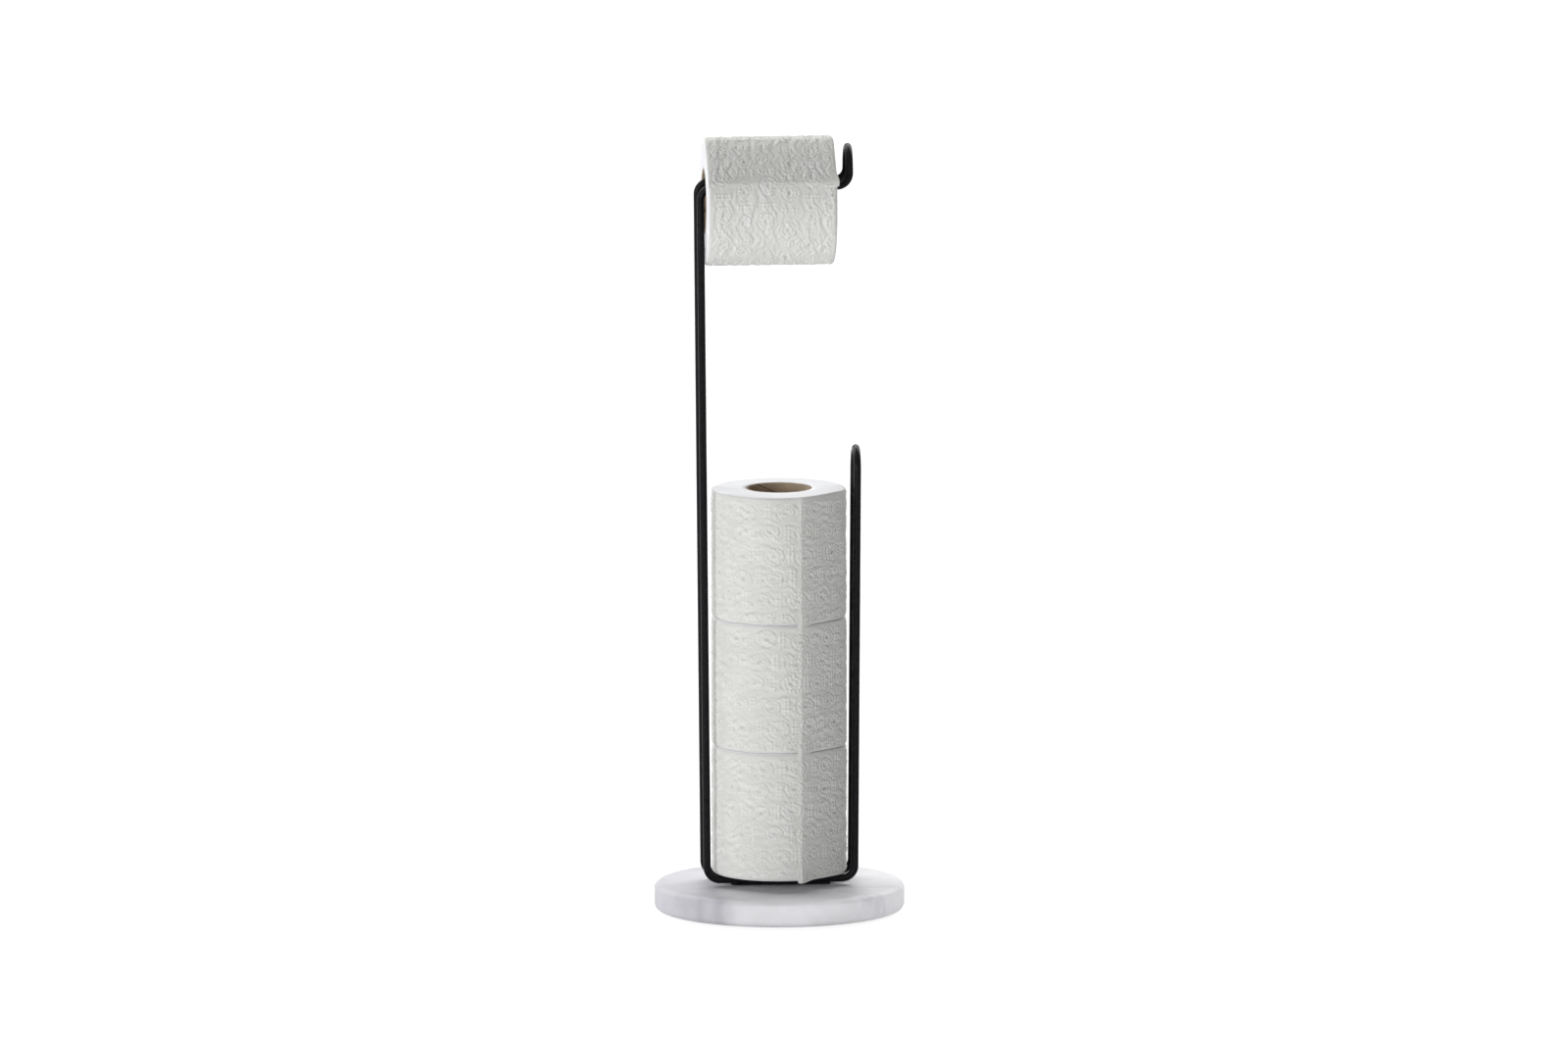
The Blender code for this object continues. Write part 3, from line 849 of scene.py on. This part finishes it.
emboss = {
    "cell": (28 * mm, 17.7 * mm), "jitter": 0.18,
    "size": 0.86, "sizeRange": 0.22,  # a rosette's least size, and how much larger it can be
    "dot": 1.0 * mm, "dotPower": 1.5, "faintDots": 0.55,  # how much fainter a dot can be
    "rings": (  # radius, dots, height
        (3.4 * mm, 7, 0.8), (6.7 * mm, 14, 1.0), (9.9 * mm, 21, 0.55),
    ),
    "ringTurn": 3, "wander": 0.09, "wanderTurns": 5, "wanderShift": 9,
    "squash": 0.84,  # the rosettes are a little wider than high
    "stroke": (2.3 * mm, 0.8 * mm), "strokeDepth": 0.9, "strokeTilt": 1.2,
    "trough": (8.3 * mm, 1.0 * mm), "troughDepth": 0.3,  # its radius and width
    "lineSpacing": 2.9 * mm, "lineReach": 6.6 * mm,  # lines of dots between the rosettes
    "lineHeight": 0.8, "lineDot": 0.85,
}

# Draws don't depend on the run: each number comes from its own two values and the roll's salt
scatter = {"first": 127.1, "second": 311.7, "salt": 74.7, "size": 43758.5453}
draws = {"row": 3.0, "wrinkle": 5.0, "tornEdge": 9.0}


def steadyRandom(first, second, salt):
    total = first * scatter["first"] + second * scatter["second"] + salt * scatter["salt"]
    mixed = np.sin(total) * scatter["size"]
    return mixed - np.floor(mixed)


def embossedDot(x, y, size=1.0):
    return np.exp(-((x * x + y * y) / (emboss["dot"] * size) ** 2) ** emboss["dotPower"])


def dottedRing(x, y, radius, dots, turn):
    step = math.tau / dots
    which = np.round((np.arctan2(y, x) - turn) / step)
    nearest = which * step + turn
    wave = np.sin(emboss["wanderTurns"] * nearest + emboss["wanderShift"] * turn)
    wander = 1 + emboss["wander"] * wave
    strength = 1 - emboss["faintDots"] * steadyRandom(np.mod(which, dots), turn, radius)
    return strength * embossedDot(x - radius * wander * np.cos(nearest),
                                  y - radius * wander * np.sin(nearest))


# Height of the embossing at points of the flat sheet, from -1 (pressed in) to 1
def embossing(along, up, girth, salt):
    count = round(girth / emboss["cell"][0])
    wide, tall = girth / count, emboss["cell"][1]
    row = np.floor(up / tall)
    slide = steadyRandom(row, draws["row"], salt)
    column = np.floor(along / wide - slide)
    around = np.mod(column, count)
    chance = [steadyRandom(around, row, salt + which) for which in range(1, 6)]
    flatX = along - (column + slide + 0.5) * wide
    flatY = up - (row + 0.5) * tall
    size = emboss["size"] + emboss["sizeRange"] * chance[2]
    x = (flatX - emboss["jitter"] * (chance[0] - 0.5) * wide) / size
    y = (flatY - emboss["jitter"] * (chance[1] - 0.5) * tall) / size / emboss["squash"]
    height = np.zeros_like(x)
    for which, (radius, dots, strength) in enumerate(emboss["rings"]):
        turn = chance[3 + which % 2] * emboss["ringTurn"] + which
        height += strength * dottedRing(x, y, radius, dots, turn)
    tilt = (chance[4] - 0.5) * emboss["strokeTilt"]
    lengthwise = x * np.cos(tilt) + y * np.sin(tilt)
    sideways = y * np.cos(tilt) - x * np.sin(tilt)
    strokeLength, strokeWidth = emboss["stroke"]
    stroke = np.exp(-(lengthwise / strokeLength) ** 2 - (sideways / strokeWidth) ** 2)
    height -= emboss["strokeDepth"] * stroke
    troughRadius, troughWidth = emboss["trough"]
    trough = np.exp(-((np.hypot(x, y) - troughRadius) / troughWidth) ** 2)
    height -= emboss["troughDepth"] * trough
    spacing = emboss["lineSpacing"]
    inLine = flatY - np.round(flatY / spacing) * spacing
    between = wide / 2 - np.abs(flatX) - spacing / 2
    line = embossedDot(between, inLine, emboss["lineDot"]) * (np.abs(flatY) < emboss["lineReach"])
    height += emboss["lineHeight"] * line
    return np.clip(height, -1, 1)


# Slow waves that keep the wound paper from being perfectly round: turns round the roll, rise
# along it in radians to the metre, share
waveSizes = ((2, 9, 0.5), (3, 31, 0.35), (5, 57, 0.25), (9, 83, 0.2))


def waves(angle, up, salt):
    total = np.zeros_like(angle)
    for turns, rises, share in waveSizes:
        phase = steadyRandom(turns, rises, salt) * math.tau
        total += share * np.sin(turns * angle + rises * up + phase)
    return total


# Shallow pillowy wrinkles that run round the roll and come and go. Each wanders up and down in
# two bends, and its strength varies too.

wrinkle = {
    "sizes": (  # turns round the roll, pitch up the roll, share
        (6, 13 * mm, 0.24), (9, 9.3 * mm, 0.28), (13, 7.0 * mm, 0.30),
        (18, 5.6 * mm, 0.28), (24, 4.5 * mm, 0.22),
    ),
    "bend": 0.9, "otherBend": 0.6, "otherRise": 130, "apart": 4,
    "strength": 0.55, "strengthRange": 0.45, "strengthRise": 90,
}


def wrinkles(angle, up, salt):
    total = np.zeros_like(angle)
    for turns, length, share in wrinkle["sizes"]:
        phase = steadyRandom(turns, draws["wrinkle"], salt) * math.tau
        other = np.sin((turns + wrinkle["apart"]) * angle - wrinkle["otherRise"] * up)
        bend = wrinkle["bend"] * np.sin(turns * angle + phase) + wrinkle["otherBend"] * other
        swell = np.sin((turns - wrinkle["apart"]) * angle + wrinkle["strengthRise"] * up
                       + 2 * phase)
        strength = wrinkle["strength"] + wrinkle["strengthRange"] * swell
        fold = 2 * np.abs(np.sin(math.pi * up / length + bend + phase)) - 1
        total += share * strength * fold
    return total


def outlineRadius(degrees, radius):
    across = np.clip(degrees / rollShape["flatDegrees"], 0, 1)
    return radius - rollShape["flatDepth"] * np.sin(math.pi * across)


# The relief that paints light on the sheet's raised dots and wrinkles and shade in its hollows,
# and how far its surface is moved outwards, at an angle round the roll and a height
def sheetRelief(angle, up, radius, half, salt):
    shape = rollShape
    fade = np.clip((half - np.abs(up)) / shape["embossFade"], 0, 1)
    dots = embossing(angle * radius, up + shape["embossStart"], math.tau * radius, salt) * fade
    fromCrease = np.abs(np.mod(angle + math.pi, math.tau) - math.pi) * radius
    calm = np.clip(fromCrease / shape["creaseReach"], shape["creasePart"], 1)
    folds = wrinkles(angle, up, salt) * fade * calm
    moved = shape["embossDepth"] * dots + shape["wrinkleDepth"] * folds
    moved = moved + shape["waveDepth"] * waves(angle, up, salt)
    return np.clip(dots + shape["wrinklePaintedShade"] * folds, -1, 1), moved


def placeOf(name, settings):
    low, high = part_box(name + "_core")
    turn = Matrix.Rotation(math.radians(settings["looseDegrees"]), 4, "Z")
    lay = Matrix.Rotation(math.radians(-90), 4, "Y") if settings["lying"] else Matrix.Identity(4)
    return Matrix.Translation((low + high) / 2) @ lay @ turn


def halfLength(name, settings):
    low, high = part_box(name + "_core")
    return (high - low)[0 if settings["lying"] else 2] / 2


def coordinatesOf(mesh):
    places = np.zeros(len(mesh.vertices) * 3)
    mesh.vertices.foreach_get("co", places)
    return places.reshape(-1, 3)


def loopCorners(mesh):
    corners = np.zeros(len(mesh.loops), np.int32)
    mesh.loops.foreach_get("vertex_index", corners)
    return corners


def keepMap(mesh, u, v):
    layer = mesh.uv_layers.new(name="paperMap")
    layer.data.foreach_set("uv", np.stack([u, v], 1).ravel())


def keepRelief(mesh, relief):
    attribute = mesh.attributes.new("relief", "FLOAT", "POINT")
    attribute.data.foreach_set("value", relief.astype(np.float32))


def mapRoll(mesh, radius):
    places = coordinatesOf(mesh)
    turn = np.mod(np.arctan2(places[:, 0], -places[:, 1]), math.tau) / math.tau
    reach = np.hypot(places[:, 0], places[:, 1])
    beyond = np.clip(radius - rollShape["mapDepth"] - reach, 0, None)
    v = places[:, 2] + np.sign(places[:, 2]) * beyond
    corners = loopCorners(mesh)
    u = turn[corners].reshape(-1, 4)
    wrapped = (u.max(1) - u.min(1)) > 0.5
    u[wrapped] = np.where(u[wrapped] < 0.5, u[wrapped] + 1, u[wrapped])
    keepMap(mesh, u.ravel() * (math.tau * radius), v[corners])


# A closed profile, finely divided, is turned about the axis by a Screw modifier
def turnedRoll(name, radius, bore, half):
    points = ((bore, -half, 0), (radius, -half, rollShape["edge"]),
              (radius, half, rollShape["edge"]), (bore, half, 0))
    form = profileForm(points, True, rollShape["edgeSteps"])
    atSide = radius - tiny
    upright = [edge for edge in form.edges if all(vert.co.x > atSide for vert in edge.verts)]
    level = [edge for edge in form.edges
             if abs(edge.verts[0].co.z - edge.verts[1].co.z) < tiny]
    bmesh.ops.subdivide_edges(form, edges=upright, cuts=rollShape["rows"] - 1)
    bmesh.ops.subdivide_edges(form, edges=level, cuts=rollShape["endRows"] - 1)
    profile = bpy.data.meshes.new("profile")
    form.to_mesh(profile)
    form.free()
    holder = addObject("profile", profile)
    lathe = holder.modifiers.new("lathe", "SCREW")
    lathe.steps = lathe.render_steps = rollShape["columns"]
    lathe.use_merge_vertices = True
    lathe.merge_threshold = tiny
    mesh = evaluatedMesh(holder)
    bpy.data.objects.remove(holder)
    form = bmesh.new()
    form.from_mesh(mesh)
    bmesh.ops.recalc_face_normals(form, faces=form.faces)
    form.to_mesh(mesh)
    form.free()
    mesh.name = name
    return mesh


def makeWoundPaper(name, settings, salt):
    radius, half = settings["across"] / 2, halfLength(name, settings)
    bore = rollShape["core"] / 2 + rollShape["coreWall"] + rollShape["fit"]
    mesh = turnedRoll(name + "_wound_paper", radius, bore, half)
    mapRoll(mesh, radius)

    x, y, z = coordinatesOf(mesh).T
    angle = np.mod(np.arctan2(x, -y), math.tau)
    reach = np.hypot(x, y)
    onPaper = (reach - bore) / (radius - bore)
    onSide = np.clip((reach - radius + rollShape["sideDepth"]) / rollShape["sideDepth"], 0, 1)
    relief, moved = sheetRelief(angle, z, radius, half, salt)
    keepRelief(mesh, relief * onSide)
    reach = bore + onPaper * (outlineRadius(np.degrees(angle), radius) - bore) + moved * onSide
    places = np.stack([reach * np.sin(angle), -reach * np.cos(angle), z], 1)
    mesh.vertices.foreach_set("co", places.ravel())

    makeObject(name + "_wound_paper", mesh, sidePaper, settings["body"],
               [name + "_paper"])
    mesh.materials.append(endPaper)
    middles = np.zeros(len(mesh.polygons) * 3)
    mesh.polygons.foreach_get("center", middles)
    atEnd = np.abs(middles.reshape(-1, 3)[:, 2]) > half - rollShape["endDepth"]
    mesh.polygons.foreach_set("material_index", atEnd.astype(np.int32))
    mesh.shade_smooth()
    mesh.transform(placeOf(name, settings))


# The loose end: a sheet that leaves the roll, lies flat, is creased, and ends in a short lip.
# Its lower corner hangs a little out of line.

looseSheet = {
    "columns": 108, "lipColumns": 6, "rows": 150, "thickness": 0.3 * mm, "sharpDegrees": 50,
    "sidePlay": 0.15 * mm,  # how much it falls short of the roll at each end
    "lip": 3.6 * mm,  # from the crease to the free edge
    "reachDegrees": 61, "sinkDegrees": 3,  # where it ends, and how soon it sinks into the roll
    "sinkDepth": 0.4 * mm,
    "edgeLift": 0.55 * mm, "creaseLift": 1.05 * mm, "liftPower": 1.5,
    "roundReach": 2 * mm, "roundDepth": 0.8 * mm, "roundDegrees": 12,  # over the roll's edges
    "cornerDrop": 1.8 * mm, "cornerFlare": 0.9 * mm,
    "cornerReach": 18 * mm, "cornerWidth": 7 * mm,
    "tornDepth": 0.3 * mm,
}


# How far the sheet lies above the roll's outline
def sheetLift(degrees, along):
    look = looseSheet
    across = np.clip(degrees / rollShape["flatDegrees"], 0, 1)
    gain = look["creaseLift"] - look["thickness"]
    lift = look["thickness"] + gain * (1 - across) ** look["liftPower"]
    sunk = np.clip((degrees - rollShape["flatDegrees"]) / look["sinkDegrees"], 0, 1)
    lift -= sunk * (look["thickness"] + look["sinkDepth"])
    onLip = np.clip(-along / look["lip"], 0, 1)
    lipLift = look["creaseLift"] + (look["edgeLift"] - look["creaseLift"]) * onLip
    return np.where(along < 0, lipLift, lift)


def makeLooseSheet(name, settings, salt):
    radius, half = settings["across"] / 2, halfLength(name, settings)
    look = looseSheet
    form = bmesh.new()
    bmesh.ops.create_grid(form, x_segments=look["columns"], y_segments=look["rows"], size=0.5)
    mesh = bpy.data.meshes.new(name + "_loose_sheet")
    form.to_mesh(mesh)
    form.free()
    places = coordinatesOf(mesh)
    column = (places[:, 0] + 0.5) * look["columns"]
    up = places[:, 1] * 2 * (half - look["sidePlay"])
    reachLength = math.radians(look["reachDegrees"]) * radius
    fromCrease = column - look["lipColumns"]
    along = np.where(fromCrease < 0, fromCrease / look["lipColumns"] * look["lip"],
                     fromCrease / (look["columns"] - look["lipColumns"]) * reachLength)
    row = np.round(places[:, 1] * look["rows"])
    torn = look["tornDepth"] * steadyRandom(row, draws["tornEdge"], salt)
    along = along + np.where(column < 0.5, torn, 0)
    angle = along / radius
    degrees = np.degrees(angle)
    relief, moved = sheetRelief(angle, up, radius, half, salt)

    atEdge = np.clip(1 - (half - np.abs(up)) / look["roundReach"], 0, 1) ** 2
    rounded = atEdge * np.clip(degrees / look["roundDegrees"], 0, 1)
    reach = outlineRadius(degrees, radius) + sheetLift(degrees, along) + moved
    reach -= look["roundDepth"] * rounded
    corner = np.clip(1 - (half + up) / look["cornerReach"], 0, 1) ** 2
    corner = corner * np.exp(-(along / look["cornerWidth"]) ** 2)
    reach += look["cornerFlare"] * corner
    up = up - look["cornerDrop"] * corner
    places = np.stack([reach * np.sin(angle), -reach * np.cos(angle), up], 1)
    mesh.vertices.foreach_set("co", places.ravel())
    keepRelief(mesh, relief)
    corners = loopCorners(mesh)
    keepMap(mesh, along[corners], up[corners])
    mesh.shade_smooth()

    holder = addObject("sheet", mesh)
    wall = holder.modifiers.new("wall", "SOLIDIFY")
    wall.thickness, wall.offset = look["thickness"], -1
    sheet = evaluatedMesh(holder)
    bpy.data.objects.remove(holder)
    sheet.name = name + "_loose_sheet"
    sheet.set_sharp_from_angle(angle=math.radians(look["sharpDegrees"]))
    sheet.transform(placeOf(name, settings))
    makeObject(name + "_loose_sheet", sheet, sidePaper, settings["body"])


coreTube = {
    "pitch": 74 * mm, "gap": 0.8 * mm, "stepsPerTurn": 72, "sharpDegrees": 30,
    "betweenPlies": 0.02 * mm,
    "seamDegrees": 127,  # where the inner ply's seam meets the top end, for a roll that stands
}


# One ply of the core: a strip of board spun along a helix, then trimmed flush at both ends
def makePly(name, settings, inner, outer, material, startDegrees, standsFor):
    roll = name[:name.index("_tube")]
    half = halfLength(roll, settings)
    pitch = coreTube["pitch"]
    turns = math.ceil(2 * half / pitch) + 2
    form = bmesh.new()
    lowest = half - (turns - 1) * pitch
    highest = lowest + pitch - coreTube["gap"]
    corners = ((inner, lowest), (outer, lowest), (outer, highest), (inner, highest))
    strip = form.faces.new([form.verts.new((across, 0, up)) for across, up in corners])
    bmesh.ops.spin(form, geom=[strip], cent=(0, 0, 0), axis=(0, 0, 1),
                   angle=math.tau * (turns - 1), steps=(turns - 1) * coreTube["stepsPerTurn"],
                   dvec=(0, 0, pitch / coreTube["stepsPerTurn"]))
    for end in (-1, 1):
        cut = bmesh.ops.bisect_plane(
            form, geom=form.verts[:] + form.edges[:] + form.faces[:],
            plane_co=(0, 0, end * half), plane_no=(0, 0, end), clear_outer=True)
        bmesh.ops.holes_fill(form, edges=edgesOf(cut["geom_cut"]), sides=0)
    turn = Matrix.Rotation(math.radians(startDegrees), 3, "Z")
    bmesh.ops.rotate(form, verts=form.verts, matrix=turn)
    mesh = meshFrom(form, name, coreTube["sharpDegrees"])
    mesh.transform(placeOf(roll, settings))
    makeObject(name, mesh, material, settings["body"], standsFor)


def makeRoll(name, settings, salt):
    makeWoundPaper(name, settings, salt)
    makeLooseSheet(name, settings, salt)
    bore = rollShape["core"] / 2
    middle = bore + rollShape["coreWall"] / 2
    outside = bore + rollShape["coreWall"]
    start = coreTube["seamDegrees"] - settings["looseDegrees"]
    makePly(name + "_tube_inner_ply", settings, bore, middle, innerBoard, start,
            [name + "_core"])
    # the outer ply's dark board paints shade into the seam's gap, partly standing for a glue line
    makePly(name + "_tube_outer_ply", settings, middle + coreTube["betweenPlies"], outside,
            seamGlueAndShadeBoard, start + 180, ())
    print(name, "roll ready")


for salt, (name, settings) in enumerate(rolls.items()):
    makeRoll(name, settings, salt * 10)
